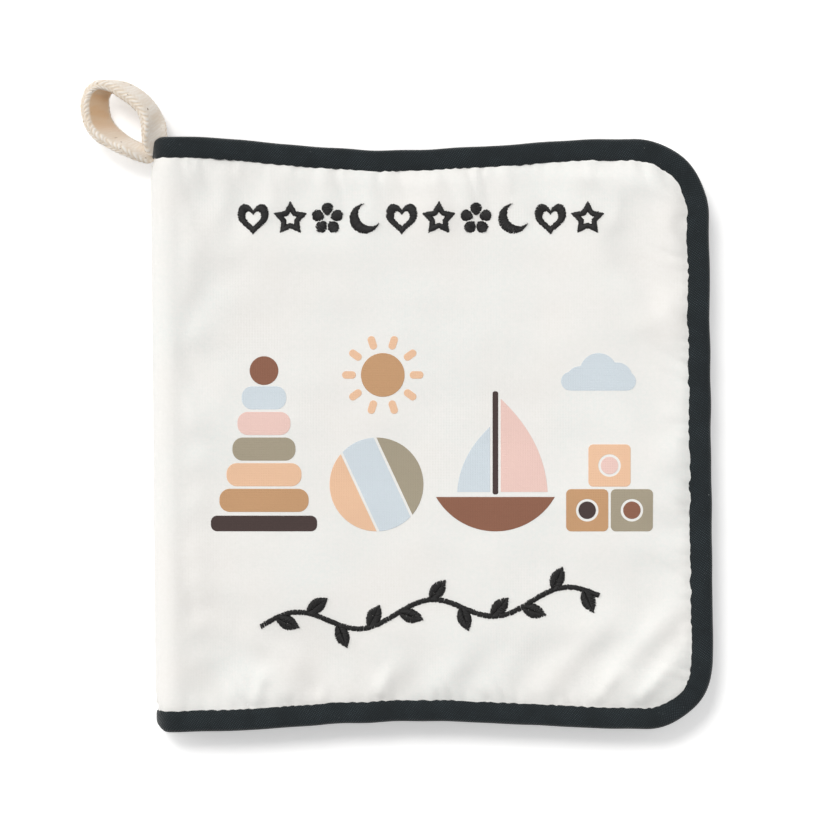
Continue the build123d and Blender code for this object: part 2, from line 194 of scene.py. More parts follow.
def swell(x, y, wavelength, seed, voices=8):
    """A soft uneven swell: plane waves in chance directions, added and scaled to about one."""
    draw = np.random.default_rng(seed)
    total = 0
    for _ in range(voices):
        way, phase = draw.uniform(0, full_turn, 2)
        length = wavelength * draw.uniform(0.6, 1.6)
        total = total + np.sin(full_turn * (x * math.cos(way) + y * math.sin(way)) / length + phase)
    return total / math.sqrt(voices)


def heading(angle):
    """The unit vector at an angle, or one for each of many."""
    return np.stack([np.cos(angle), np.sin(angle)], axis=-1)


def around(count):
    """So many angles, evenly round a full turn."""
    return np.linspace(0, full_turn, count, endpoint=False)


def run_along(line):
    """Distance from a line's start to each of its points."""
    return np.concatenate([[0], np.cumsum(np.sqrt(np.sum(np.diff(line, axis=0) ** 2, axis=1)))])


def points_at(s, run, line):
    """A line's points at some distances along it."""
    return np.stack([np.interp(s, run, values) for values in line.T], axis=-1)


def closed(line):
    """A closed line with its first point again at the end."""
    return np.concatenate([line, line[:1]])


def leaf_grid(inset, spacing, start, fold):
    """Columns of p and rows of q that fill a leaf drawn in by inset.

    Columns go in even steps from the fold, then in steps of the corner arc's
    angle. Rows spread evenly from the leaf's tail to its head.
    """
    radius = max(head["radius"], tail["radius"])
    bend_p = quarter(fold) + fore_x - radius - fold["x"]
    straight, arc = bend_p - start, radius - inset
    angle = np.linspace(0, math.pi / 2, max(3, round(arc * math.pi / 2 / spacing)))[1:]
    even = np.linspace(0, 1, max(2, round(straight / spacing)))
    p = np.append(start + straight * even, bend_p + arc * np.sin(angle))
    low, high = (leaf_end(flat_x(p, fold), inset, end)[:, None] for end in (tail, head))
    q = low + (high - low) * np.linspace(0, 1, round((head_y - tail_y) / spacing))
    return np.broadcast_to(p[:, None], q.shape), q


def new_mesh(name, points, faces, material, uv=None):
    """A mesh object from arrays of points and of faces, with its corners' UVs in metres if given."""
    mesh = bpy.data.meshes.new(name)
    mesh.from_pydata(points.reshape(-1, 3) * mm, [], faces)
    mesh.materials.append(material)
    mesh.polygons.foreach_set("use_smooth", np.full(len(mesh.polygons), True))
    if uv is not None:
        layer = mesh.uv_layers.new(name="thread_lines")
        corner = np.zeros(len(mesh.loops), dtype=np.int64)
        mesh.loops.foreach_get("vertex_index", corner)
        layer.data.foreach_set("uv", (uv.reshape(-1, 2)[corner] * mm).astype(np.float32).ravel())
    mesh.update()
    return placed(name, mesh)


def placed(name, data):
    """An object for a mesh, lamp or camera, in the scene."""
    made = bpy.data.objects.new(name, data)
    bpy.context.scene.collection.objects.link(made)
    return made


def dress(piece, body, node):
    """Says which body a piece rides on, and hides the solid that it stands for."""
    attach(piece, body)
    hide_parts(node)


def grid_faces(rows, columns, close_rows=False, close_columns=False, first=0, flip=False):
    """Quads between neighbouring points of a grid, joined end to end where it closes."""
    i = np.arange(rows if close_rows else rows - 1)[:, None]
    j = np.arange(columns if close_columns else columns - 1)[None, :]
    next_i, next_j = (i + 1) % rows, (j + 1) % columns
    quads = np.stack(np.broadcast_arrays(
        i * columns + j, next_i * columns + j, next_i * columns + next_j, i * columns + next_j
    ), axis=-1).reshape(-1, 4) + first
    return quads[:, ::-1] if flip else quads


def shell(name, outer, inner, material, flip=False):
    """A closed skin: an outer grid and an inner one of the same size, joined round their border."""
    rows, columns = outer.shape[:2]
    count = rows * columns
    grid = np.arange(count).reshape(rows, columns)
    edge = np.concatenate([grid[0, :-1], grid[:-1, -1], grid[-1, :0:-1], grid[:0:-1, 0]])
    after = np.roll(edge, -1)
    wall = np.stack([edge, after, after + count, edge + count], axis=-1)
    faces = [grid_faces(rows, columns, flip=flip), grid_faces(rows, columns, first=count, flip=not flip),
             wall[:, ::-1] if flip else wall]
    points = np.concatenate([outer.reshape(-1, 3), inner.reshape(-1, 3)])
    return new_mesh(name, points, np.concatenate(faces).tolist(), material)


def tube_faces(rings, sides, count=1, flip=False):
    """Faces of a set of tubes, each of so many rings, with a flat face at both its ends."""
    start = np.arange(count)[:, None] * rings * sides
    quads = (grid_faces(rings, sides, close_columns=True, flip=flip)[None] + start[..., None]).reshape(-1, 4)
    low = np.arange(sides) + start
    high = low + (rings - 1) * sides
    caps = (low[:, ::-1], high) if flip else (low, high[:, ::-1])
    return quads.tolist() + caps[0].tolist() + caps[1].tolist()


# Materials

def linear(code):
    """A colour written as sRGB hex, turned linear."""
    channels = np.array([int(code[i:i + 2], 16) for i in (1, 3, 5)]) / 255
    turned = np.where(channels <= 0.04045, channels / 12.92, ((channels + 0.055) / 1.055) ** 2.4)
    return (*turned.tolist(), 1.0)


def add_node(tree, kind, output, inputs=None, **settings):
    """Adds a shader node with its settings, gives each named input a value or a link, returns one output."""
    made = tree.nodes.new("ShaderNode" + kind)
    for name, value in settings.items():
        setattr(made, name, value)
    for name, value in (inputs or {}).items():
        if isinstance(value, bpy.types.NodeSocket):
            tree.links.new(value, made.inputs[name])
        else:
            made.inputs[name].default_value = value
    return made.outputs[output]


def material(name, surface, *choices, **more):
    """A material whose surface a function works out in its node tree."""
    made = bpy.data.materials.new(name)
    made.use_nodes = True
    tree = made.node_tree
    tree.nodes.clear()
    end = tree.nodes.new("ShaderNodeOutputMaterial")
    tree.links.new(surface(tree, *choices, **more), end.inputs["Surface"])
    return made


def layered(tree, colour, *layers):
    """A colour under layers: each layer's own colour comes in as a value rises between two bounds."""
    for value, low, high, other in layers:
        share = add_node(tree, "MapRange", "Result", {"Value": value, "From Min": low, "From Max": high})
        first, second = (linear(c) if isinstance(c, str) else c for c in (colour, other))
        colour = add_node(tree, "Mix", 2, {0: share, 6: first, 7: second}, data_type="RGBA")
    return colour


def threads(tree, vector, pitch, angle, distortion=0.6):
    """Parallel lines of a given pitch, turned by an angle, with a little waver."""
    wave_length = math.pi / 10  # of the wave texture at a scale of 1
    turned = add_node(tree, "Mapping", "Vector", {"Vector": vector, "Rotation": (0, 0, angle)})
    return add_node(tree, "TexWave", "Fac", {
        "Vector": turned, "Scale": wave_length / pitch, "Distortion": distortion,
        "Detail": 1.0, "Detail Scale": 2.0,
    })


def soft_surface(tree, colour, height, bump, depth, roughness, specular, sheen, fuzz):
    """A rough surface with a fine relief and the pale haze of loose fibre ends."""
    relief = add_node(tree, "Bump", "Normal", {"Height": height, "Strength": bump, "Distance": depth})
    return add_node(tree, "BsdfPrincipled", 0, {
        "Base Color": colour, "Roughness": roughness, "Specular IOR Level": specular, "Sheen Weight": sheen,
        "Sheen Roughness": fuzz, "Normal": relief,
    })


def cotton(tree, warm, cool, tint, pitch, bump, roughness=0.86, sheen=0.25):
    """Plain-woven cotton: two crossing sets of threads with thicker places, and a mottle of near colours.

    Washed cotton gives the eye a matt, nearly even white with a faint grain.
    Real threads lie 0.3 mm apart; they are drawn coarser, so that they show.
    """
    place = add_node(tree, "TexCoord", "Object")
    warp, weft = (threads(tree, place, pitch, angle) for angle in (0, math.pi / 2))
    weave = add_node(tree, "Math", 0, {0: warp, 1: weft}, operation="ADD")
    slub, cloud = (add_node(tree, "TexNoise", "Fac", {"Vector": place, "Scale": scale, "Detail": detail})
                   for scale, detail in ((900, 3), (38, 2)))
    colour = layered(tree, warm, (cloud, 0.35, 0.65, cool), (slub, 0.3, 0.8, tint))
    height = add_node(tree, "Math", 0, {0: weave, 1: slub}, operation="ADD")
    return soft_surface(tree, colour, height, bump, 0.12 * mm, roughness, 0.2, sheen, 0.5)


def twill_tape(tree, dark, light, pitch):
    """Black cotton twill tape, woven and dyed: fine slanting ribs, their crests painted paler in patches as
    a painted highlight, and a little lint on them.

    It gives the eye a soft blue black, paler where ribs catch the light. Real
    ribs lie 0.4 mm apart; they are drawn coarser, so that they show.
    """
    along = add_node(tree, "UVMap", "UV", uv_map="thread_lines")
    rib = threads(tree, along, pitch, math.radians(35), 1.4)
    pick = threads(tree, along, pitch * 0.85, math.radians(-55), 2.0)
    dots = add_node(tree, "Math", 0, {0: rib, 1: pick}, operation="MULTIPLY")
    cloud, lint = (add_node(tree, "TexNoise", "Fac", {"Vector": along, "Scale": scale, "Detail": detail})
                   for scale, detail in ((120, 3), (1400, 2)))
    # Painted highlight: the rib crests are painted paler, in patches set by a slow noise
    crest, highlight_patches = (add_node(tree, "MapRange", "Result", {"Value": value, "From Min": low, "From Max": high})
                  for value, low, high in ((dots, 0.2, 0.9), (cloud, 0.15, 0.65)))
    painted_crest_highlight = add_node(tree, "Math", 0, {0: crest, 1: highlight_patches}, operation="MULTIPLY")
    colour = layered(tree, dark, (painted_crest_highlight, 0, 1, light), (lint, 0.74, 0.80, "#8c9090"))
    return soft_surface(tree, colour, dots, 0.8, 0.15 * mm, 0.8, 0.25, 0.35, 0.4)


def herringbone_tape(tree):
    """Unbleached cotton herringbone tape, woven thick and soft.

    It gives the eye a warm matt cream with seed flecks. Painted shade makes it tan between the yarns and on
    the inside of the loop, and a painted highlight makes the yarns' crowns paler. The yarns are true
    geometry, coarser than real.
    """
    along = add_node(tree, "UVMap", "UV", uv_map="thread_lines")
    fuzz, cloud, fleck = (
        add_node(tree, "TexNoise", "Fac", {"Vector": along, "Scale": scale, "Detail": detail})
        for scale, detail in ((1600, 3), (220, 2), (620, 1)))
    # Painted shade and highlight: grooves between yarns and the loop's inner face are painted tan, the
    # yarns' crowns paler
    crown, inside = (add_node(tree, "Attribute", "Fac", attribute_name=name)
                     for name in ("painted_yarn_shading", "painted_inner_shade"))
    colour = layered(tree, "#decbb2", (crown, 0, 1, "#f8f2ea"), (inside, 0, 1, "#ddb88f"),
                     (cloud, 0.4, 0.9, "#e3d0b8"), (fleck, 0.72, 0.78, "#8a6a48"))
    return soft_surface(tree, colour, fuzz, 0.5, 0.1 * mm, 0.9, 0.15, 0.3, 0.6)


def thread(tree, code, roughness, sheen):
    """Twisted sewing or embroidery thread: smooth filament, which gives the eye a soft gleam along it."""
    place = add_node(tree, "TexCoord", "Object")
    tone = add_node(tree, "TexNoise", "Fac", {"Vector": place, "Scale": 1500, "Detail": 2})
    paler = tuple(min(1, c * 1.6 + 0.004) for c in linear(code)[:3]) + (1.0,)
    return add_node(tree, "BsdfPrincipled", 0, {
        "Base Color": layered(tree, code, (tone, 0.3, 0.8, paler)), "Roughness": roughness,
        "Specular IOR Level": 0.3, "Sheen Weight": sheen,
    })


def film(tree):
    """Thin crinkled polyester film: clear, faintly blue, glossy in small flat facets."""
    place = add_node(tree, "TexCoord", "Object")
    cells = {"Vector": place, "Scale": 120}
    crease = add_node(tree, "TexVoronoi", "Distance", cells, feature="DISTANCE_TO_EDGE")
    relief = add_node(tree, "Bump", "Normal", {"Height": crease, "Strength": 0.6, "Distance": 0.5 * mm})
    return add_node(tree, "BsdfPrincipled", 0, {
        "Base Color": linear("#e4eaee"), "Roughness": 0.12, "IOR": 1.57, "Transmission Weight": 0.6,
        "Normal": relief,
    })


cover_cotton = material("plain_woven_cotton_cover", cotton, "#efede9", "#eceeeb", "#f2f0ed", 0.5 * mm, 0.22)
lining_cotton = material("plain_woven_cotton_lining", cotton, "#ebe9e2", "#e9e9e5", "#efede8", 0.6 * mm, 0.4)
page_cotton = material("plain_woven_cotton_page", cotton, "#efede7", "#ecece8", "#f3f1ec", 0.55 * mm, 0.35)
wadding_codes = ("#f3f3f1", "#f6f6f6", "#f3f3f1")
wadding_fibre = material("polyester_fibre_wadding", cotton, *wadding_codes, 2 * mm, 0.8, roughness=0.95)
# The second colour is the painted highlight on the tape's rib crests
black_tape = material("black_cotton_twill_tape", twill_tape, "#0b1215", "#3c484d", 0.64 * mm)
cream_tape = material("cream_cotton_herringbone_tape", herringbone_tape)
black_satin = material("black_satin_embroidery_thread", thread, "#0b0a0a", 0.5, 0.0)
white_thread = material("white_cotton_sewing_thread", thread, "#e8e6e0", 0.7, 0.2)
crinkle_film = material("crinkled_polyester_film", film)
# Textile ink soaks in, so the eye sees flat colour with the cloth's own grain
inks = {
    colour: material("textile_ink_" + colour, cotton, code, code, code, 0.55 * mm, 0.35, sheen=0.1)
    for colour, code in (
        ("dark_brown", "#4a3d3b"), ("brown", "#8f6350"), ("tan", "#c79c75"), ("peach", "#eec4a3"),
        ("khaki", "#a79d89"), ("pink", "#eeccc3"), ("pale_blue", "#d3dde4"),
    )
}


# Puffed faces of the covers and pages

# Rows of puckers along a seam: depth, pitch, sharpness, reach from the seam, waver and its wavelength, then
# what tells the row's waver from the others', and whether it is uneven and slants
pucker_rows = (
    (0.17, 3.3, 1, 1.8, 0.4, 9, 0, False), (0.74, 8.2, 2.5, 6.5, 3.0, 27, 20, True),
    (0.42, 5.3, 2, 2.6, 1.4, 17, 60, False),
)


def seam_puckers(x, y, inset, seed):
    """Small valleys that the sewing draws out of the seams.

    Each edge has a row of nicks, one of uneven valleys that slant away, and
    one of tucks. Each is a power of a raised cosine that dies off exponentially.
    """
    depth = 0
    edges = ((end_line(x, head) - y, x, 0.35), (y - end_line(x, tail), x, -0.75), (fore_x - x, y, 0.6))
    for step, (off, s, slant) in enumerate(edges):
        away = np.maximum(off - inset, 0)
        uneven = 0.2 + 0.8 * np.clip(0.5 + 0.8 * ripple(s, 31, seed + 40 + step), 0, 1)
        for deep, pitch, sharp, reach, waver, wave, row, coarse in pucker_rows:
            at = s - coarse * slant * away + waver * ripple(s, wave, seed + row + step)
            valley = (0.5 + 0.5 * np.cos(full_turn * at / pitch)) ** sharp * (uneven if coarse else 1)
            depth = depth + deep * valley * np.exp(-away / reach)
    return -depth * smooth((edge_distance(x, y) - inset + 0.6) / 1.6)


# Drag folds of the front cover: both ends, then width and height
drag_folds = (
    (30, -88, 62, -52, 6.5, 1.0), (46, -88, 80, -54, 5.5, 1.15), (60, -89, 86, -64, 4.5, 0.95),
    (12, -88, 34, -62, 5.5, 0.7), (-4, -89, 10, -72, 5, 0.6), (-20, -89, -8, -70, 5, 0.65),
    (-50, -88, -42, -70, 5, 0.6), (-66, -88, -60, -74, 4.5, 0.5), (60, -40, 86, -12, 7, 0.5),
    (52, 88, 84, 54, 6, 0.9), (36, 88, 66, 54, 7, 0.75), (66, 88, 86, 68, 4.5, 0.85),
    (-6, 90, 4, 64, 5, 0.7), (8, 90, 14, 70, 4, 0.75), (24, 90, 34, 68, 5.5, 0.6),
    (-30, 88, -44, 58, 7, 0.45), (-62, 88, -70, 66, 5, 0.4), (62, 24, 86, 44, 7, 0.5),
    (-84, 30, -72, 10, 5, -0.7), (-84, 6, -74, -6, 4, -0.5), (-84, -40, -74, -60, 6, -0.45),
)
# Short narrow folds that stand out of the seams, written in the same way
seam_folds = (
    (-59, -90, -54, -75, 2.3, 0.75), (-20, -89, -14, -74, 2.3, 0.75), (-37, -88, -34, -79, 2.2, 0.4),
    (0, 92, 3, 79, 2.4, 0.6), (20, 91, 26, 77, 2.4, 0.65), (46, 92, 52, 79, 2.2, 0.55),
    (-36, 91, -33, 79, 2.4, 0.4), (49, -89, 59, -75, 2.2, 0.65), (62, -89, 76, -73, 2.2, 0.75),
    (74, -89, 85, -77, 2.0, 0.65),
)


def drag(x, y, folds):
    """Long soft ridges: each is a bell across its line, fading towards both ends."""
    total = 0
    for x0, y0, x1, y1, width, height in folds:
        run = np.array([x1 - x0, y1 - y0])
        length = np.hypot(*run)
        along = ((x - x0) * run[0] + (y - y0) * run[1]) / length
        across = ((x - x0) * run[1] - (y - y0) * run[0]) / length
        total = total + height * bell(across / width) * np.exp(-((along / length - 0.5) / 0.45) ** 4)
    return total


def cover_puff(x, y, seed, folds):
    """Height of a cover's outer cloth over the panel's middle plane.

    It leaves the tape steeply, dips beside the fold, and crowns softly in the
    middle; puckers, drag folds and a slow swell lie on top.
    """
    inside = edge_distance(x, y)
    rise = 1 - np.exp(-np.maximum(inside - 5.8, 0) / 1.9)
    past_fold = x - cover_fold["x"]
    dip_run = past_fold - 14
    body = 1.15 - 1.2 * bell(dip_run / np.where(dip_run < 0, 8.5, 20))
    body = body + 0.45 * bell((inside - 13) / 10) * smooth((x - fore_x) / 50 + 1)
    crown = 0.45 * np.clip(1 - (x / fore_x) ** 2, 0, 1) * (1 - (y / head_y) ** 2)
    calm = smooth((inside - 5) / 7) * smooth((past_fold + 2) / 8)
    wander = 0.34 * swell(x, y, 46, seed) + 0.10 * swell(x, y, 17, seed + 1)
    pucker = seam_puckers(x, y, pucker_inset, seed + 2) * smooth((past_fold + 1) / 6)
    snug = 0.3 * smooth(-past_fold / 6)
    near_seam = drag(x, y, seam_folds) * np.clip(inside / 9, 0, 1)
    lie = body + crown - snug + near_seam + calm * (wander + drag(x, y, folds))
    return seam_rise + rise * lie + pucker


def flat_puff(x, y, seed, fold, inset, seam, lift, reach, uneven, wave, pucker):
    """Height of a lining or a page over its middle plane: a low pad, a slow wander and its own puckers."""
    inside = edge_distance(x, y) - inset
    rise = 1 - np.exp(-np.maximum(inside - 5.6, 0) / reach)
    calm = smooth((inside - 5) / 12) * smooth((x - fold["x"]) / 10)
    wander = uneven * (swell(x, y, wave, seed) - 0.9) + 0.06 * swell(x, y, 13, seed + 1)
    puckers = seam_puckers(x, y, inset + pucker_inset, seed + 5)
    return seam + rise * (lift + calm * wander) + pucker * puckers


def lining_puff(x, y, seed):
    """Height of a cover's lining, which lies under the panel's middle plane."""
    return -flat_puff(x, y, seed, cover_fold, 0, seam_rise, 0.8, 4, 0.36, 34, 1.1)


def page_puff(x, y, seed):
    """Height of a page's face, inside the page's own tape."""
    lift = page_rise - page_seam_rise - 0.1
    return flat_puff(x, y, seed, page_fold, page_inset, page_seam_rise, lift, 3.6, 0.32, 36, 0.9)


def settled(face, slack):
    """How far a cloth simulation moves a flat-laid face, as a function of x and y.

    The face is laid out twenty times life size, held at its seams and at the
    fold, and given a little more cloth than its outline has room for, so it
    settles into its own soft folds. Only its rise is kept, within a limit.
    """
    enlarged, spacing, most, frames = 20, 2.6, 1.1, 22
    grid_x, grid_y = (np.linspace(low, high, round((high - low) / spacing))
                      for low, high in ((cover_fold["x"], fore_x), (tail_y, head_y)))
    x, y = np.meshgrid(grid_x, grid_y, indexing="ij")
    start = np.stack([x, y, face(x, y)], axis=-1)
    held = (edge_distance(x, y) < 8) | (x < cover_fold["x"] + 3)
    trial = new_mesh("trial_cloth", start * enlarged, grid_faces(*x.shape).tolist(), cover_cotton)
    group = trial.vertex_groups.new(name="held")
    group.add(np.flatnonzero(held.ravel()).tolist(), 1.0, "REPLACE")
    modifier = trial.modifiers.new("settle", "CLOTH")
    cloth = modifier.settings
    for name, value in {
        "vertex_group_mass": "held", "quality": 6, "mass": 0.3, "tension_stiffness": 20,
        "compression_stiffness": 20, "shear_stiffness": 10, "bending_stiffness": 2.0, "shrink_min": -slack,
        "use_pressure": True, "uniform_pressure_force": 0.6,
    }.items():
        setattr(cloth, name, value)
    cloth.effector_weights.gravity = 0
    modifier.point_cache.frame_end = frames
    scene = bpy.context.scene
    for step in range(1, frames + 1):
        scene.frame_set(step)
    shaped = trial.evaluated_get(bpy.context.evaluated_depsgraph_get())
    ends = np.zeros(x.size * 3)
    shaped.data.vertices.foreach_get("co", ends)
    moved = ends.reshape(*x.shape, 3)[..., 2] / (enlarged * mm) - start[..., 2]
    moved = most * np.tanh(np.where(held, 0, moved) / most)
    scene.frame_set(1)
    mesh = trial.data
    bpy.data.objects.remove(trial)
    bpy.data.meshes.remove(mesh)
    return lambda x, y: sampled(moved, grid_x, grid_y, x, y)


def sampled(values, grid_x, grid_y, x, y):
    """Values on an even grid, read smoothly: cubic B-spline weights on the four by four nearest."""
    steps = []
    for place, grid in ((x, grid_x), (y, grid_y)):
        at = (place - grid[0]) / (grid[1] - grid[0])
        cell = np.floor(at)
        u = at - cell
        weights = ((1 - u) ** 3, 3 * u**3 - 6 * u * u + 4, -3 * u**3 + 3 * u * u + 3 * u + 1, u**3)
        index = [np.clip(cell + shift, 0, len(grid) - 1).astype(int) for shift in (-1, 0, 1, 2)]
        steps.append(list(zip(index, weights)))
    return sum(values[i, j] * p * q for i, p in steps[0] for j, q in steps[1]) / 36


def outer_cloth(seed, folds, slack=0.009):
    """The outer face of one cover's cloth as a function of x and y, settled by simulation."""
    settle = settled(lambda x, y: cover_puff(x, y, seed, folds), slack)
    return lambda x, y: cover_puff(x, y, seed, folds) + settle(x, y)


def pressed(face, limit, ease=0.12):
    """A face that rests on a flat surface: its height fades into the limit where it would pass it."""
    return lambda x, y: limit - ease * np.logaddexp(0, (limit - face(x, y)) / ease)


def raised(face, lift):
    """A face set higher by a lift."""
    return lambda x, y: face(x, y) + lift


def turned_in(face, lining_inside):
    """The outer cloth's under side: beside the slit it turns in over the layers, down to the lining."""
    def under(x, y):
        past_slit = x - flat_x(cover_start, cover_fold)
        share = smooth((past_slit - 0.4 * turn_in) / (0.6 * turn_in))
        return share * (face(x, y) - cloth_thickness) + (1 - share) * (lining_inside(x, y) + 0.02)
    return under


front_face = outer_cloth(11, drag_folds)
back_folds = tuple((x0, -y0, x1, -y1, width, 0.7 * height) for x0, y0, x1, y1, width, height in drag_folds)
back_face = pressed(outer_cloth(23, back_folds), middle - cover_radius)


def cover_layers(word, side, face, spacing):
    """The four layers of a cover, each a shell between two faces; side is 1 in front and -1 behind."""
    lining = lambda x, y: lining_puff(x, y, 40 + side)
    inside = raised(lining, cloth_thickness)
    over_film = raised(inside, film_thickness)
    layer_start = cover_start + turn_in
    for layer, step, start, upper, lower, fabric, finish in (
        ("cloth", spacing, cover_start, face, turned_in(face, inside), cover_cotton, "cover_cloth"),
        ("wadding", 3, layer_start, raised(face, -wadding_gap), raised(over_film, 0.3), wadding_fibre,
         "wadding"),
        ("film", 2.4, layer_start, raised(over_film, 0.1), raised(inside, 0.1), crinkle_film,
         "crinkle_film"),
        ("lining", 1.8, cover_start, inside, lining, lining_cotton, "lining_cloth"),
    ):
        p, q = leaf_grid(cloth_inset, step, start, cover_fold)
        x = flat_x(p, cover_fold)
        outer, inner = (wrap(side * p, q, height(x, q), cover_fold) for height in (upper, lower))
        piece = shell(word + "_" + layer, outer, inner, fabric, flip=side < 0)
        dress(piece, word + "_cover", word + "_cover_" + layer)


cover_layers("front", 1, front_face, 0.9)
cover_layers("back", -1, back_face, 1.25)


def page_spread():
    """The page spread: one padded sheet folded at the spine, with an outer and an inner face."""
    p, q = leaf_grid(page_inset + 0.5, 1.6, 0.02, page_fold)
    p, q = np.concatenate([-p[::-1], p]), np.concatenate([q[::-1], q])
    x = flat_x(p, page_fold)
    shift = np.where(p > 0, 0.1, -0.1)
    outer = wrap(p, q, page_puff(x, q + shift, 61), page_fold)
    inner = wrap(p, q, -page_puff(x, q - shift, 67), page_fold)
    return shell("page_spread", outer, inner, page_cotton)


pages = page_spread()
dress(pages, "pages", "pages")


# Binding tape

def bound_edge(inset, start, fold, spacing):
    """A leaf's free edge as p and q, from the fold at the head round to the tail's, evenly spaced."""
    parts = []
    angle = np.linspace(0, math.pi / 2, 120)
    for end in (head, tail):
        bend_x, arc = fore_x - end["radius"], end["radius"] - inset
        x = np.append(np.linspace(flat_x(start, fold), bend_x, 400), bend_x + arc * np.sin(angle))
        parts.append(np.stack([x, leaf_end(x, inset, end)], axis=-1))
    line = np.concatenate([parts[0], parts[1][::-1]])
    line = line[np.append(True, np.hypot(*np.diff(line, axis=0).T) > 1e-7)]  # no point twice
    run = run_along(line)
    s = np.linspace(0, run[-1], round(run[-1] / spacing))
    x, q = points_at(s, run, line).T
    return x - fold["x"] + quarter(fold), q, s


def inward(p, q):
    """Unit vectors to the right of the way along a line, which is inside the leaf."""
    along_p, along_q = np.gradient(p), np.gradient(q)
    length = np.hypot(along_p, along_q)
    return along_q / length, -along_p / length


def tape_section(outer_rise, inner_rise):
    """The folded tape's section: inset and height round its outer face, then back along its inner one."""
    round_part = np.linspace(-math.pi / 2, math.pi / 2, 9)
    side_w = [tape_width, tape_width - 0.25, tape_width * 0.72, tape_width * 0.42]
    side_h = np.array([inner_rise + 0.1, *(outer_rise + lift for lift in (-0.12, 0.1, 0.14))])
    nose_w = outer_rise * 0.92 * (1 - np.cos(round_part[::-1]))
    deep, edge = tape_thickness + 0.4, tape_width - 0.1
    thin = inner_rise - 0.05
    w = [*side_w, *nose_w, *side_w[::-1], edge, deep, tape_thickness, tape_thickness, deep, edge]
    h = [*side_h, *(outer_rise * np.sin(round_part[::-1])), *-side_h[::-1],
         -thin, -thin, 0.3 - thin, thin - 0.3, thin, thin]
    return np.array(w), np.array(h)


# Creases where the tape turns a corner: inner end and way outwards of each, then depth as a share
mitres = ((83.0, -82.4, 1, -1, 0.26), (81.2, 82.2, 1, 1, 0.14))


def mitre(x, y, w):
    """The share of its height that the tape loses in a crease, a valley deepest at the inner edge."""
    total = 0
    for x0, y0, way_x, way_y, depth in mitres:
        x_off, y_off = x - x0, y - y0
        near = x_off * way_x + y_off * way_y > -3
        across = (x_off * way_y - y_off * way_x) / math.sqrt(2)
        total = total + depth * near * bell(across / 0.55) * smooth(w / tape_width)
    return total


def bound_tape(name, p, q, s, fold, section, seed, full=False):
    """Tape swept along an edge, its section on the edge's inward side, with a scalloped inner edge."""
    section_w, section_h = section
    in_p, in_q = inward(p, q)
    width = section_w.max()
    near_inner = smooth((section_w - width * 0.6) / (width * 0.4))
    nicks = np.abs(np.sin(math.pi * s / 3.2 + 0.8 * ripple(s, 19, seed))) - 0.6
    scallop = (0.25 + 0.12 * ripple(s, 14, seed + 4)) * nicks
    waver = 0.11 * ripple(s, 26, seed + 1)
    ease = 0.10 * ripple(s, 21, seed + 2) + 0.05 * ripple(s, 6, seed + 3)
    widened = 1 + 0.07 * smooth((flat_x(p, fold) - fore_x) / 40 + 1.25) * smooth((q - tail_y) / 60)
    w = section_w * widened[:, None] + scallop[:, None] * near_inner + waver[:, None] - tape_overhang
    puffed = np.sign(section_h) * (np.abs(section_h) > seam_rise * 0.9)
    h = section_h + ease[:, None] * puffed
    # The outer edge rounds at the spine, and the inner edge stays straight
    drop = np.sign(q) * spine_round(flat_x(p, fold))
    plain_p, plain_q = inward(p, q + drop)
    share = np.clip(section_w / width, 0, 1)
    at_p, at_q = (
        edge[:, None] + (bent[:, None] * (1 - share) + plain[:, None] * share) * w
        for edge, bent, plain in ((p, in_p, plain_p), (q, in_q, plain_q)))
    at_q = at_q + drop[:, None] * share
    points = wrap(at_p, at_q, h * (1 - mitre(flat_x(at_p, fold), at_q, w) * puffed**2), fold)
    girth = run_along(np.stack(section, axis=-1))
    uv = np.stack(np.broadcast_arrays(s[:, None], girth), axis=-1)
    rings, sides = points.shape[:2]
    faces = grid_faces(rings, sides, True, True).tolist() if full else tube_faces(rings, sides)
    return new_mesh(name, points, faces, black_tape, uv)


for word, side in (("front", 1), ("back", -1)):
    p, q, s = bound_edge(0, cover_start, cover_fold, 0.6)
    p, q = (p, q) if side > 0 else (-p[::-1], q[::-1])
    tape = bound_tape(word + "_tape", p, q, s, cover_fold, tape_section(tape_rise, seam_rise), 70 + side)
    dress(tape, word + "_cover", word + "_cover_binding")

# The spread's tape runs all the way round: out along the upper leaf, back along the lower one
p, q, s = bound_edge(page_inset, 0.4, page_fold, 0.8)
p, q, s = np.concatenate([p, -p[::-1]]), np.concatenate([q, q[::-1]]), np.concatenate([s, s[-1] + s])
page_section = tape_section(page_tape_rise, page_seam_rise)
page_tape = bound_tape("page_tape", p, q, s, page_fold, page_section, 80, full=True)
dress(page_tape, "pages", "page_binding")


# Things laid on the front cover

def cover_top(x, y):
    """Height of the front cloth over the floor at a place on the flat of the cover."""
    return middle + cover_radius + front_face(x - lean(y), y)


def patch(outer, inner, rings, lift):
    """A thin field of ink between an outer closed line and an inner one or a middle, laid on the cloth.

    Its face follows the cloth and turns down at the edge within a tenth of a
    millimetre; its underside, with fewer rings, follows the cloth from below.
    """
    crisp = 0.1 / np.hypot(*(outer - inner).T).mean()
    face = np.array([0, crisp, *np.linspace(0, 1, rings)[1:-1], 1 - crisp, 1])
    under = np.linspace(1, 0, rings // 3 + 2)
    flat = inner + (outer - inner) * np.append(face, under)[:, None, None]
    rise = np.append(np.full(len(face), lift), np.full(len(under), -2 * lift))
    z = cover_top(flat[..., 0], flat[..., 1]) + rise[:, None]
    return np.concatenate([flat, z[..., None]], axis=-1)


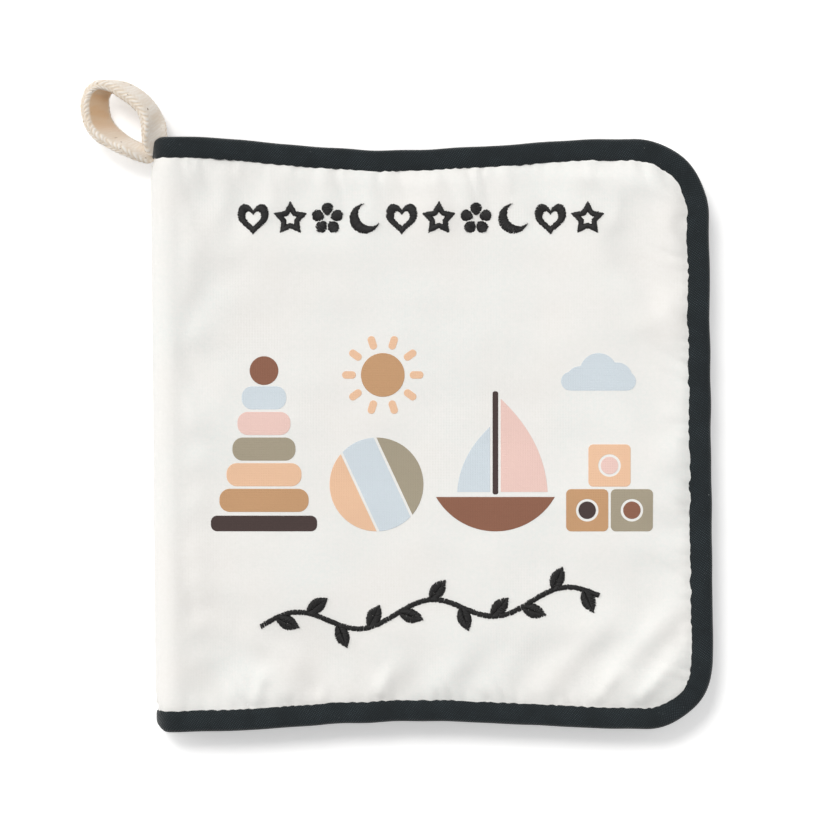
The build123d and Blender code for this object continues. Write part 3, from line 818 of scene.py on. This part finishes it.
def ink_piece(colour, fields):
    """All the fields of one ink colour as one mesh; points that share a place at a pole become one."""
    points, faces, count = [], [], 0
    for outer, inner in fields:
        size = np.hypot(*(outer.max(0) - outer.min(0)))
        grid = patch(outer, np.broadcast_to(inner, outer.shape), max(3, round(size / 2 / 1.1)), 0.07)
        rows, columns = grid.shape[:2]
        points.append(grid.reshape(-1, 3))
        faces.append(grid_faces(rows, columns, True, True, first=count))
        count += rows * columns
    piece = new_mesh("ink_" + colour, np.concatenate(points), np.concatenate(faces).tolist(), inks[colour])
    work = bmesh.new()
    work.from_mesh(piece.data)
    bmesh.ops.remove_doubles(work, verts=work.verts, dist=0.003 * mm)
    bmesh.ops.dissolve_degenerate(work, edges=work.edges, dist=0.003 * mm)
    work.to_mesh(piece.data)
    work.free()
    dress(piece, "front_cover", "print_" + colour)


def turn_about(line, angle):
    """A flat line turned about the origin."""
    c, s = math.cos(angle), math.sin(angle)
    return line @ np.array([[c, s], [-s, c]])


def between(first, second, count):
    """Points along a straight line, its ends left out."""
    share = np.linspace(0, 1, count + 2)[1:-1, None]
    return np.asarray(first) + (np.asarray(second) - np.asarray(first)) * share


def rounded_box(width, height, radius, centre, count=72):
    """A box with round corners: a circle's quarters, spread apart by the box less its rounding."""
    way = heading(around(count) + math.pi / count)
    return np.array(centre) + (np.array([width, height]) / 2 - radius) * np.sign(way) + radius * way


def close_set(line, step=0.8, least=0.02):
    """A closed line, run counter-clockwise, with more points on its long stretches; its own points stay."""
    x, y = line.T
    if np.sum(x * np.roll(y, -1) - np.roll(x, -1) * y) < 0:
        line = line[::-1]
    run = run_along(closed(line))
    s = np.union1d(run, np.arange(0, run[-1], step))
    s = s[np.append(True, np.diff(s) > least)]
    return points_at(s[s < run[-1] - least], run, closed(line))


def filled(line):
    """A field with nothing left out, about the middle of its box."""
    line = close_set(line)
    return line, (line.max(0) + line.min(0)) / 2


def disc(radius, centre, count=48):
    """A round field."""
    return filled(np.array(centre) + radius * heading(around(count)))


def bar(x, y, width, height, rounding=0.4):
    """A box-shaped field whose corners are rounded by a share of its lesser side."""
    return filled(rounded_box(width, height, rounding * min(width, height), (x, y)))


ink_gap = 0.8
toy_base_y = -31
stack_x, stack_width, stack_foot, stack_taper = -53, 34, 5, 0.84
ring_inks, ring_height, knob_radius = ("tan", "peach", "khaki", "pink", "pale_blue"), 8.2, 4.6
ball_x, ball_radius, ball_band, ball_tilt = -17, 15, 11, math.radians(25)
sun_middle, sun_radius, ray_count, ray_length, ray_width = (-15, 19), 7, 10, 4.4, 2.4
boat_x, boat_length, boat_depth = 21, 38, 11
mast_height, mast_width, sail_width, small_sail = 44, 1.8, 15, 0.7
block_x, block_size, dot_radius = 57.5, 13.5, 2.8
cloud_middle, cloud_radius = np.array([54, 20]), 6


def ball_field(side):
    """The ball's middle band, or what is left of it on one side."""
    if side == 0:
        cut = math.acos(ball_band / 2 / ball_radius)
        right, left = (ball_radius * heading(np.linspace(*ends, 16))
                       for ends in ((math.pi - cut, cut), (-cut, cut - math.pi)))
        sides = between(right[-1], left[0], 12), between(left[-1], right[0], 12)
        line = np.concatenate([right, sides[0], left, sides[1]])
    else:
        cut = math.acos((ball_band / 2 + ink_gap) / ball_radius)
        arc = ball_radius * heading(np.linspace(-cut, cut, 32))
        line = np.concatenate([arc, between(arc[-1], arc[0], 16)]) * np.array([side, 1])
    return filled(turn_about(line, ball_tilt) + np.array([ball_x, toy_base_y + ball_radius]))


def sun_ray(turn):
    """One rounded ray."""
    reach = sun_radius + 2 * ink_gap + ray_length / 2
    line = rounded_box(ray_length, ray_width, ray_width * 0.49, (reach, 0), 32)
    return filled(turn_about(line, full_turn * turn / ray_count) + np.array(sun_middle))


def boat_hull():
    """A flat deck over a round keel, an arc through both ends and the keel."""
    half = boat_length / 2
    radius = (half**2 + boat_depth**2) / (2 * boat_depth)
    swing = math.asin(half / radius)
    keel = radius * heading(np.linspace(-swing, swing, 40) - math.pi / 2) + np.array([0, radius])
    line = np.concatenate([keel, between(keel[-1], keel[0], 30)]) + np.array([boat_x, toy_base_y])
    return close_set(line), np.array([boat_x, toy_base_y + boat_depth * 0.62])


def sail(side, share):
    """A sail with a bellied leech: a bowed line from the masthead to the clew."""
    low_y = toy_base_y + boat_depth + 2 * ink_gap
    luff_x = boat_x + side * (mast_width / 2 + ink_gap)
    tack = np.array([luff_x, low_y])
    top = tack + np.array([0, share * (mast_height - boat_depth - 4 * ink_gap)])
    clew = tack + np.array([side * sail_width * share, 0])
    t = np.linspace(0, 1, 30)[:, None]
    bow = 4 * t * (1 - t) * 0.22 * sail_width * share * np.array([side, 0.25])
    leech = top + (clew - top) * t + bow
    line = np.concatenate([leech, between(clew, tack, 12), [tack], between(tack, top, 24)])
    return close_set(line), (top + clew + tack * 1.5) / 3.5


def block_middle(column, row):
    """The middle of a building block in its pile."""
    x = block_x + (column - 0.5 + 0.5 * row) * (block_size + ink_gap)
    return x, toy_base_y + (row + 0.5) * block_size + row * ink_gap


def toy_block(column, row):
    """A block round its window."""
    centre = np.array(block_middle(column, row))
    outer = close_set(rounded_box(block_size, block_size, block_size * 0.12, centre))
    x, y = (outer - centre).T
    return outer, heading(np.arctan2(y, x)) * (dot_radius + ink_gap) + centre


def block_dot(column, row):
    """The dot in a block's window."""
    return disc(dot_radius, block_middle(column, row), 32)


def cloud():
    """Three puffs over a flat base: the furthest reach of five round shapes in every direction."""
    way = heading(around(120))
    start = np.array([0, -0.35]) * cloud_radius
    reach = np.zeros(len(way))
    for x, y, r in ((0, 0, 1.0), (-1.0, -0.4, 0.7), (1.0, -0.3, 0.8), (-1.5, -0.5, 0.5), (1.5, -0.5, 0.5)):
        offset = np.array([x, y]) * cloud_radius - start
        along = way @ offset
        gap = (r * cloud_radius) ** 2 - (offset @ offset - along**2)
        reach = np.maximum(reach, np.where(gap > 0, along + np.sqrt(np.maximum(gap, 0)), 0))
    base_reach = (-cloud_radius - start[1]) / np.minimum(way[:, 1], -0.01)
    over_base = (way[:, 1] < 0) & (np.abs(way[:, 0]) * base_reach < 1.3 * cloud_radius)
    line = start + way * np.maximum(reach, np.where(over_base, base_reach, 0))[:, None]
    line[:, 1] = np.maximum(line[:, 1], -cloud_radius)
    return close_set(line + cloud_middle), start + cloud_middle


rings_y, mast_rise = toy_base_y + stack_foot + ink_gap, mast_height - boat_depth
knob_y = rings_y + len(ring_inks) * ring_height + knob_radius
mast_y = toy_base_y + boat_depth + ink_gap + mast_rise / 2
fields = {
    "dark_brown": [bar(stack_x, toy_base_y + stack_foot / 2, stack_width, stack_foot),
                   bar(boat_x, mast_y, mast_width, mast_rise), block_dot(0, 0)],
    "brown": [disc(knob_radius, (stack_x, knob_y)), boat_hull(), block_dot(1, 0)],
    "tan": [disc(sun_radius, sun_middle), toy_block(0, 0)],
    "peach": [ball_field(-1), toy_block(0, 1)] + [sun_ray(turn) for turn in range(ray_count)],
    "khaki": [ball_field(1), toy_block(1, 0)],
    "pink": [sail(1, 1.0), block_dot(0, 1)],
    "pale_blue": [ball_field(0), sail(-1, small_sail), cloud()],
}
for level, colour in enumerate(ring_inks):
    width, ring_y = stack_width * stack_taper ** (level + 1), rings_y + (level + 0.5) * ring_height
    fields[colour].append(bar(stack_x, ring_y, width, ring_height - ink_gap, 0.45))
for colour, shapes in fields.items():
    ink_piece(colour, shapes)


# Embroidery

stem_width = 1.68
satin_pitch = 0.36
motif_size, motif_count, motif_row, motif_x, motif_y = 10, 10, 107, -3, 69
vine_length, vine_rise, vine_wave, vine_waves, vine_y = 108, 10, 3.6, 2.5, -56.5
leaf_length, leaf_width, leaf_angle, leaf_count = 8, 4.4, math.radians(48), 11


def left_of(way):
    """Flat directions turned a quarter to the left."""
    return np.stack([-way[..., 1], way[..., 0]], axis=-1)


def strands(starts, ends, seed, radius=0.24, arch=0.42):
    """Satin stitches: threads between points, each bowed up over the cloth and tucked in at both ends."""
    draw = np.random.default_rng(seed)
    count, steps, sides = len(starts), 7, 5
    t = np.linspace(0, 1, steps)
    start, end = (points[:, None] + draw.normal(0, 0.07, (count, 1, 2)) for points in (starts, ends))
    line = start + (end - start) * t[:, None]
    bow = (1 - (2 * t - 1) ** 4) * (arch + draw.normal(0, 0.03, (count, 1))) - 0.08
    z = cover_top(line[..., 0], line[..., 1]) + bow
    run = (end - start)[:, 0]
    across = left_of(run) / np.hypot(*run.T)[:, None]
    ring = heading(around(sides)) * (radius * (0.75 + 0.25 * np.sin(math.pi * t)))[:, None, None]
    flat = line[:, :, None] + across[:, None, None] * ring[None, ..., :1]
    points = np.concatenate([flat, z[..., None, None] + ring[None, ..., 1:]], axis=-1)
    return points.reshape(-1, 3), tube_faces(steps, sides, count, flip=True)


def satin_column(line, width):
    """Start and end of each stitch across a line, at an even pitch, leaning a little along it."""
    run, ahead = run_along(line), 0.4
    s = np.linspace(0, run[-1], round(run[-1] / satin_pitch))
    step = points_at(s + ahead, run, line) - points_at(s - ahead, run, line)
    along = step / np.hypot(*step.T)[:, None]
    half = left_of(along) * width / 2 + along * 0.12
    return points_at(s, run, line) - half, points_at(s, run, line) + half


def bezier(a, b, c, d, count=24):
    """A cubic curve between two points with two handles."""
    t = np.linspace(0, 1, count, endpoint=False)[:, None]
    a, b, c, d = (np.array(point) for point in (a, b, c, d))
    return (1 - t) ** 3 * a + 3 * (1 - t) ** 2 * t * b + 3 * (1 - t) * t * t * c + t**3 * d


def heart_line(size):
    """A heart's outline, round from the notch by the right lobe to the tip and back."""
    right = np.concatenate([bezier((0, 0.5), (0.3, 1.15), (1, 1.15), (1, 0.25)),
                            bezier((1, 0.25), (1, -0.3), (0.3, -0.6), (0, -1))])
    return np.concatenate([right, [[0, -1]], right[:0:-1] * np.array([-1, 1])]) * size / 2


def star_line(size, tips=5):
    """A five-pointed star's outline."""
    turn = np.arange(2 * tips)
    reach = np.where(turn % 2, size * 0.31, size * 0.56)[:, None]
    corner = reach * heading(math.pi / 2 + turn * math.pi / tips)
    share = np.linspace(0, 1, 8, endpoint=False)[:, None]
    return (corner[:, None] + (np.roll(corner, -1, axis=0) - corner)[:, None] * share).reshape(-1, 2)


def ring_motif(line, hole):
    """A motif with an open middle: stitches run from its outline in to a smaller copy of itself."""
    run = run_along(closed(line))
    outer = points_at(np.arange(0, run[-1], satin_pitch * 0.95), run, closed(line))
    return outer, outer * hole


def flower_motif(size, petals=5):
    """Five satin petals, each worked across its own length, about an open middle."""
    share = np.linspace(0.02, 0.98, 15)
    out = heading(math.pi / 2 + np.arange(petals) * full_turn / petals)[:, None]
    reach = out * (size * (0.13 + 0.37 * share))[:, None]
    half = left_of(out) * (size * 0.2 * np.sqrt(1 - (2 * share - 1) ** 2) * (0.75 + 0.35 * share))[:, None]
    return (reach - half).reshape(-1, 2), (reach + half).reshape(-1, 2)


def moon_motif(size):
    """A crescent worked across its width: stitches from the outer arc to the bite's arc."""
    shift_x, shift_y = 0.2, 0.16
    whole, bite, gap = size * 0.48, size * 0.40, size * math.hypot(shift_x, shift_y)
    reach = math.acos((whole**2 + gap**2 - bite**2) / (2 * whole * gap))
    outer = whole * heading(np.linspace(reach, full_turn - reach, 60))
    off = outer - np.array([gap, 0])
    inner = np.array([gap, 0]) + off / np.hypot(*off.T)[:, None] * bite
    return tuple(turn_about(line, math.atan2(shift_y, shift_x)) for line in (outer, inner))


def vine_point(share):
    """A point of the vine's stem: a rising line with a wave on it."""
    wave = vine_wave * np.sin(full_turn * vine_waves * share)
    return np.stack([(share - 0.5) * vine_length, vine_y + (share - 0.5) * vine_rise + wave], axis=-1)


def leaf_motif(root, way):
    """A pointed leaf in two halves: slanting stitches from its midrib out to each edge."""
    share = np.linspace(0.0, 0.97, 24)
    along, side = heading(way), np.array([-1, 1])[:, None, None]
    over = side * left_of(along)
    out_share = np.clip(share + 0.16, 0, 1)
    half = leaf_width / 2 * (1 - (2 * out_share - 1) ** 2) + 0.12
    rib, edge = (root + along * (run * leaf_length)[:, None] for run in (share, out_share))
    return (rib - over * 0.15).reshape(-1, 2), (edge + over * half[:, None]).reshape(-1, 2)


def gathered(motifs):
    """Many motifs' stitches as one set."""
    return [np.concatenate(points) for points in zip(*motifs)]


def upper_row():
    """The row of small motifs: heart, star, flower and moon in turn."""
    kinds = (ring_motif(heart_line(motif_size), 0.5), ring_motif(star_line(motif_size), 0.42),
             flower_motif(motif_size), moon_motif(motif_size))
    pitch = motif_row / (motif_count - 1)
    return gathered([points + np.array([motif_x + (place - (motif_count - 1) / 2) * pitch, motif_y])
                     for points in kinds[place % len(kinds)]] for place in range(motif_count))


def lower_vine():
    """The vine: a satin stem with a leaf to each side in turn."""
    motifs = [satin_column(vine_point(np.linspace(0, 1, 200)), stem_width)]
    for place in range(leaf_count):
        share = (place + 0.5) / leaf_count
        root, ahead = vine_point(share), vine_point(share + 0.1 / leaf_count)
        side = 1 if place % 2 else -1
        motifs.append(leaf_motif(root, math.atan2(*(ahead - root)[::-1]) + side * leaf_angle))
    return gathered(motifs)


for name, node, stitches, seed in (
    ("satin_motifs", "upper_embroidery", upper_row(), 31),
    ("satin_vine", "lower_embroidery", lower_vine(), 37),
):
    dress(new_mesh(name, *strands(*stitches, seed), black_satin), "front_cover", node)


# Spine stitches

def spine_stitches():
    """Running stitches down the spine: each a thread that lies across the slit and dips in at both ends."""
    length, pitch, count, radius, sides = 3.0, 3.98, 46, 0.22, 6
    centre = (np.arange(count) - (count - 1) / 2) * pitch
    dip = np.array([2.4, 1.0, 0.1, 0, 0, 0, 0.1, 1.0, 2.4])
    q = centre[:, None] + np.linspace(-0.5, 0.5, len(dip)) * length
    x = cover_fold["x"] - cover_radius - seam_rise - 0.5 + dip + lean(q)
    out, up = radius * heading(around(sides)).T
    points = np.stack(np.broadcast_arrays(x[..., None] - out, q[..., None], middle + up), axis=-1)
    return new_mesh("spine_stitches", points, tube_faces(len(dip), sides, count, flip=True), white_thread)


dress(spine_stitches(), "back_cover", "spine_stitching")


# Hanging loop: the tape's two rims, as points from the upper strand's root round to the lower one's
upper_rim = (
    (-88.2, 89.6, 9.0), (-90.2, 90.6, 10.6), (-91.2, 93.2, 12.2), (-91.1, 96.6, 13.4), (-90.9, 99.8, 13.9),
    (-91.8, 103.2, 14.0), (-94.6, 106.6, 13.9), (-98.4, 109.3, 13.6), (-102.4, 111.7, 13.2),
    (-106.3, 112.4, 12.8), (-109.3, 110.4, 12.5), (-110.6, 106.9, 12.3), (-110.6, 102.8, 12.3),
    (-109.5, 98.8, 12.5), (-107.0, 95.5, 12.8), (-103.3, 93.0, 13.0), (-99.3, 91.1, 13.0),
    (-95.4, 89.4, 12.3), (-92.2, 88.1, 10.8), (-89.8, 87.8, 8.9), (-87.6, 89.2, 7.7),
)
lower_rim = (
    (-84.6, 94.6, 9.2), (-85.0, 96.4, 9.2), (-85.3, 98.4, 8.6), (-86.0, 100.4, 7.6), (-87.2, 102.8, 6.8),
    (-88.9, 105.6, 6.2), (-91.4, 108.4, 5.8), (-95.0, 111.0, 5.5), (-99.0, 112.6, 5.2),
    (-102.4, 112.0, 4.9), (-104.4, 109.6, 4.8), (-104.9, 106.3, 4.8), (-104.4, 102.8, 4.8),
    (-102.9, 99.3, 5.0), (-100.5, 96.5, 5.4), (-97.9, 94.5, 6.0), (-95.5, 92.9, 7.0), (-93.2, 92.1, 7.9),
    (-90.8, 92.3, 8.1), (-88.4, 93.4, 7.8), (-85.4, 94.8, 7.4),
)


def through(points, count=2000):
    """A smooth line through points: cubic pieces whose slopes come from the neighbouring points."""
    knots = np.array(points)
    gap = np.hypot(*np.diff(knots, axis=0).T[:2]) ** 0.5
    at = np.append(0, np.cumsum(gap))
    slope = np.gradient(knots, at, axis=0)
    t = np.linspace(0, at[-1], count)
    i = np.clip(np.searchsorted(at, t) - 1, 0, len(at) - 2)
    width = (at[i + 1] - at[i])[:, None]
    share = (t - at[i])[:, None] / width
    return cubic(share, knots[i], knots[i + 1], width * slope[i], width * slope[i + 1])


def lengths(vectors):
    """The length of each of many vectors, as a column."""
    return np.sqrt(np.sum(vectors**2, axis=1))[:, None]


def hanging_tape(rib_pitch=1.1, chevron_pitch=1.5):
    """A thick soft tape between its two rims, with the weave raised on it.

    Its section is a rounded box. Zigzag ribs run over both faces, and plump
    yarns cross on the rims in a row of chevrons.
    """
    high, low = through(upper_rim), through(lower_rim)
    run = run_along((high + low) / 2)
    s = np.linspace(0, run[-1], round(run[-1] / 0.2))
    high, low = points_at(s, run, high), points_at(s, run, low)
    centre, width = (high + low) / 2, lengths(high - low)
    width_way = (high - low) / width
    face_way = np.cross(np.gradient(centre, axis=0), width_way)
    face_way = face_way / lengths(face_way)
    free = smooth(np.minimum(s, s[-1] - s) / 9 - 0.3)[:, None]
    draw_in, root_loss, sides = 0.4, 1.2, 60
    centre = centre - face_way * draw_in * free
    thickness = 3.6 - root_loss * (1 - free)
    ring = heading(around(sides))
    half_width, half_thick = width / 2 + thickness / 3, thickness / 2
    w = half_width * np.sign(ring[:, 0]) * np.abs(ring[:, 0]) ** 0.5
    n = half_thick * np.sign(ring[:, 1]) * np.abs(ring[:, 1]) ** 0.6
    zigzag = np.abs((w / half_width + 1) * 2 % 2 - 1) * 1.6
    uneven = (s + 0.25 * ripple(s, 4, 92))[:, None]
    face_rib = 0.5 + 0.5 * np.cos(full_turn * (uneven + zigzag) / rib_pitch)
    chevron = np.abs(np.sin(math.pi * (uneven + 1.1 * np.abs(n)) / chevron_pitch))
    plait = chevron**0.8 - 0.3 * bell(n / 0.3)
    at_rim = smooth((np.abs(w) / half_width - 0.70) / 0.14)
    crown = (0.55 + 0.3 * face_rib) * (1 - at_rim) + plait * at_rim
    bump = (0.05 + 0.30 * at_rim) * (crown - 0.6) + 0.10 * ripple(s, 6, 91)[:, None]
    out_w, out_n = ring[:, 0] * at_rim, np.sign(ring[:, 1]) * (1 - 0.5 * at_rim)
    points = (centre[:, None] + width_way[:, None] * (w + bump * out_w)[..., None]
              + face_way[:, None] * (n + bump * out_n)[..., None])
    girth = np.linspace(0, 26, sides, endpoint=False)
    uv = np.stack(np.broadcast_arrays(s[:, None], girth), axis=-1)
    piece = new_mesh("loop_tape", points, tube_faces(len(s), sides, flip=True), cream_tape, uv)
    # Painted shade: the loop's inner face is painted tan, most towards the middle of the loop; the yarn
    # crowns carry painted shading too
    deep = np.exp(-(((s / s[-1] - 0.53) / 0.2) ** 4))[:, None]
    inner = smooth(-n / half_thick) * (1 - at_rim) * deep
    for name, value in (("painted_yarn_shading", crown), ("painted_inner_shade", inner)):
        attribute = piece.data.attributes.new(name, "FLOAT", "POINT")
        attribute.data.foreach_set("value", value.astype(np.float32).ravel())
    return piece


loop = hanging_tape()
dress(loop, "back_cover", "hanging_loop")
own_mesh(loop)


# Floor, light and camera

def white_card(tree, glow_strength=0.29):
    """Matt white card that keeps the shadow; it glows a touch for the camera, to read as white."""
    seen = add_node(tree, "LightPath", "Is Camera Ray")
    card = add_node(tree, "BsdfDiffuse", 0, {"Color": linear("#ffffff")})
    glow = add_node(tree, "Emission", 0, {"Color": linear("#ffffff"), "Strength": glow_strength})
    both = add_node(tree, "AddShader", 0, {0: card, 1: glow})
    return add_node(tree, "MixShader", 0, {0: seen, 1: card, 2: both})


def floor(reach=3000, drop=0.2):
    """The floor, a little below the book."""
    corners = np.array([(-1, -1), (1, -1), (1, 1), (-1, 1)]) * reach
    points = np.insert(corners.astype(float), 2, -drop, axis=1)
    new_mesh("card_floor", points, [(0, 1, 2, 3)], material("white_card_floor", white_card))


def lamp(name, kind, energy, place, turn, **settings):
    """A lamp of a kind, with its settings, at a place and turned."""
    data = bpy.data.lights.new(name, kind)
    data.energy = energy
    for setting, value in settings.items():
        setattr(data, setting, value)
    made = placed(name, data)
    made.location, made.rotation_euler = place, turn


def sun(name, strength, elevation, compass, width):
    """A distant lamp: height over the floor, where it stands seen from above, and width, in degrees."""
    turn = (0, math.radians(90 - elevation), math.radians(compass))
    lamp(name, "SUN", strength, (0, 0, 0), turn, angle=math.radians(width), color=(1.0, 0.99, 0.975))


def studio_light(sky_strength=0.41, seen_strength=1.0):
    """A key from the upper left, a broad raking lamp, a fill on the right and an even white surround."""
    sun("key_light", 1.28, 60, 119, 18)
    sun("raking_light", 1.1, 27, 150, 50)
    fill_place = Vector((0.32, 0, 0.32))
    lamp("fill_card", "AREA", 0.26, fill_place, fill_place.to_track_quat("Z", "Y").to_euler(), size=0.4)
    world = bpy.context.scene.world = bpy.data.worlds.new("studio")
    world.use_nodes = True
    tree = world.node_tree
    tree.nodes.clear()
    direct = add_node(tree, "LightPath", "Is Camera Ray")
    for ray in ("Is Glossy Ray", "Is Transmission Ray"):
        other = add_node(tree, "LightPath", ray)
        direct = add_node(tree, "Math", 0, {0: direct, 1: other}, operation="MAXIMUM")
    sky, white = (add_node(tree, "Background", 0, {"Color": (1, 1, 1, 1), "Strength": power})
                  for power in (sky_strength, seen_strength))
    both = add_node(tree, "MixShader", 0, {0: direct, 1: sky, 2: white})
    tree.links.new(both, tree.nodes.new("ShaderNodeOutputWorld").inputs["Surface"])


def camera():
    """Straight down on the cover with a long lens, as wide as the photograph's frame."""
    view_width, view_x, view_y, distance, sensor = 268.8, -3.1, 4.6, 1700, 36
    data = bpy.data.cameras.new("camera")
    data.sensor_width = sensor
    data.lens = sensor * (distance - book_height) / view_width
    made = placed("camera", data)
    made.location = (view_x * mm, view_y * mm, distance * mm)
    bpy.context.scene.camera = made


floor()
studio_light()
camera()
bpy.context.scene.view_settings.view_transform = "Standard"
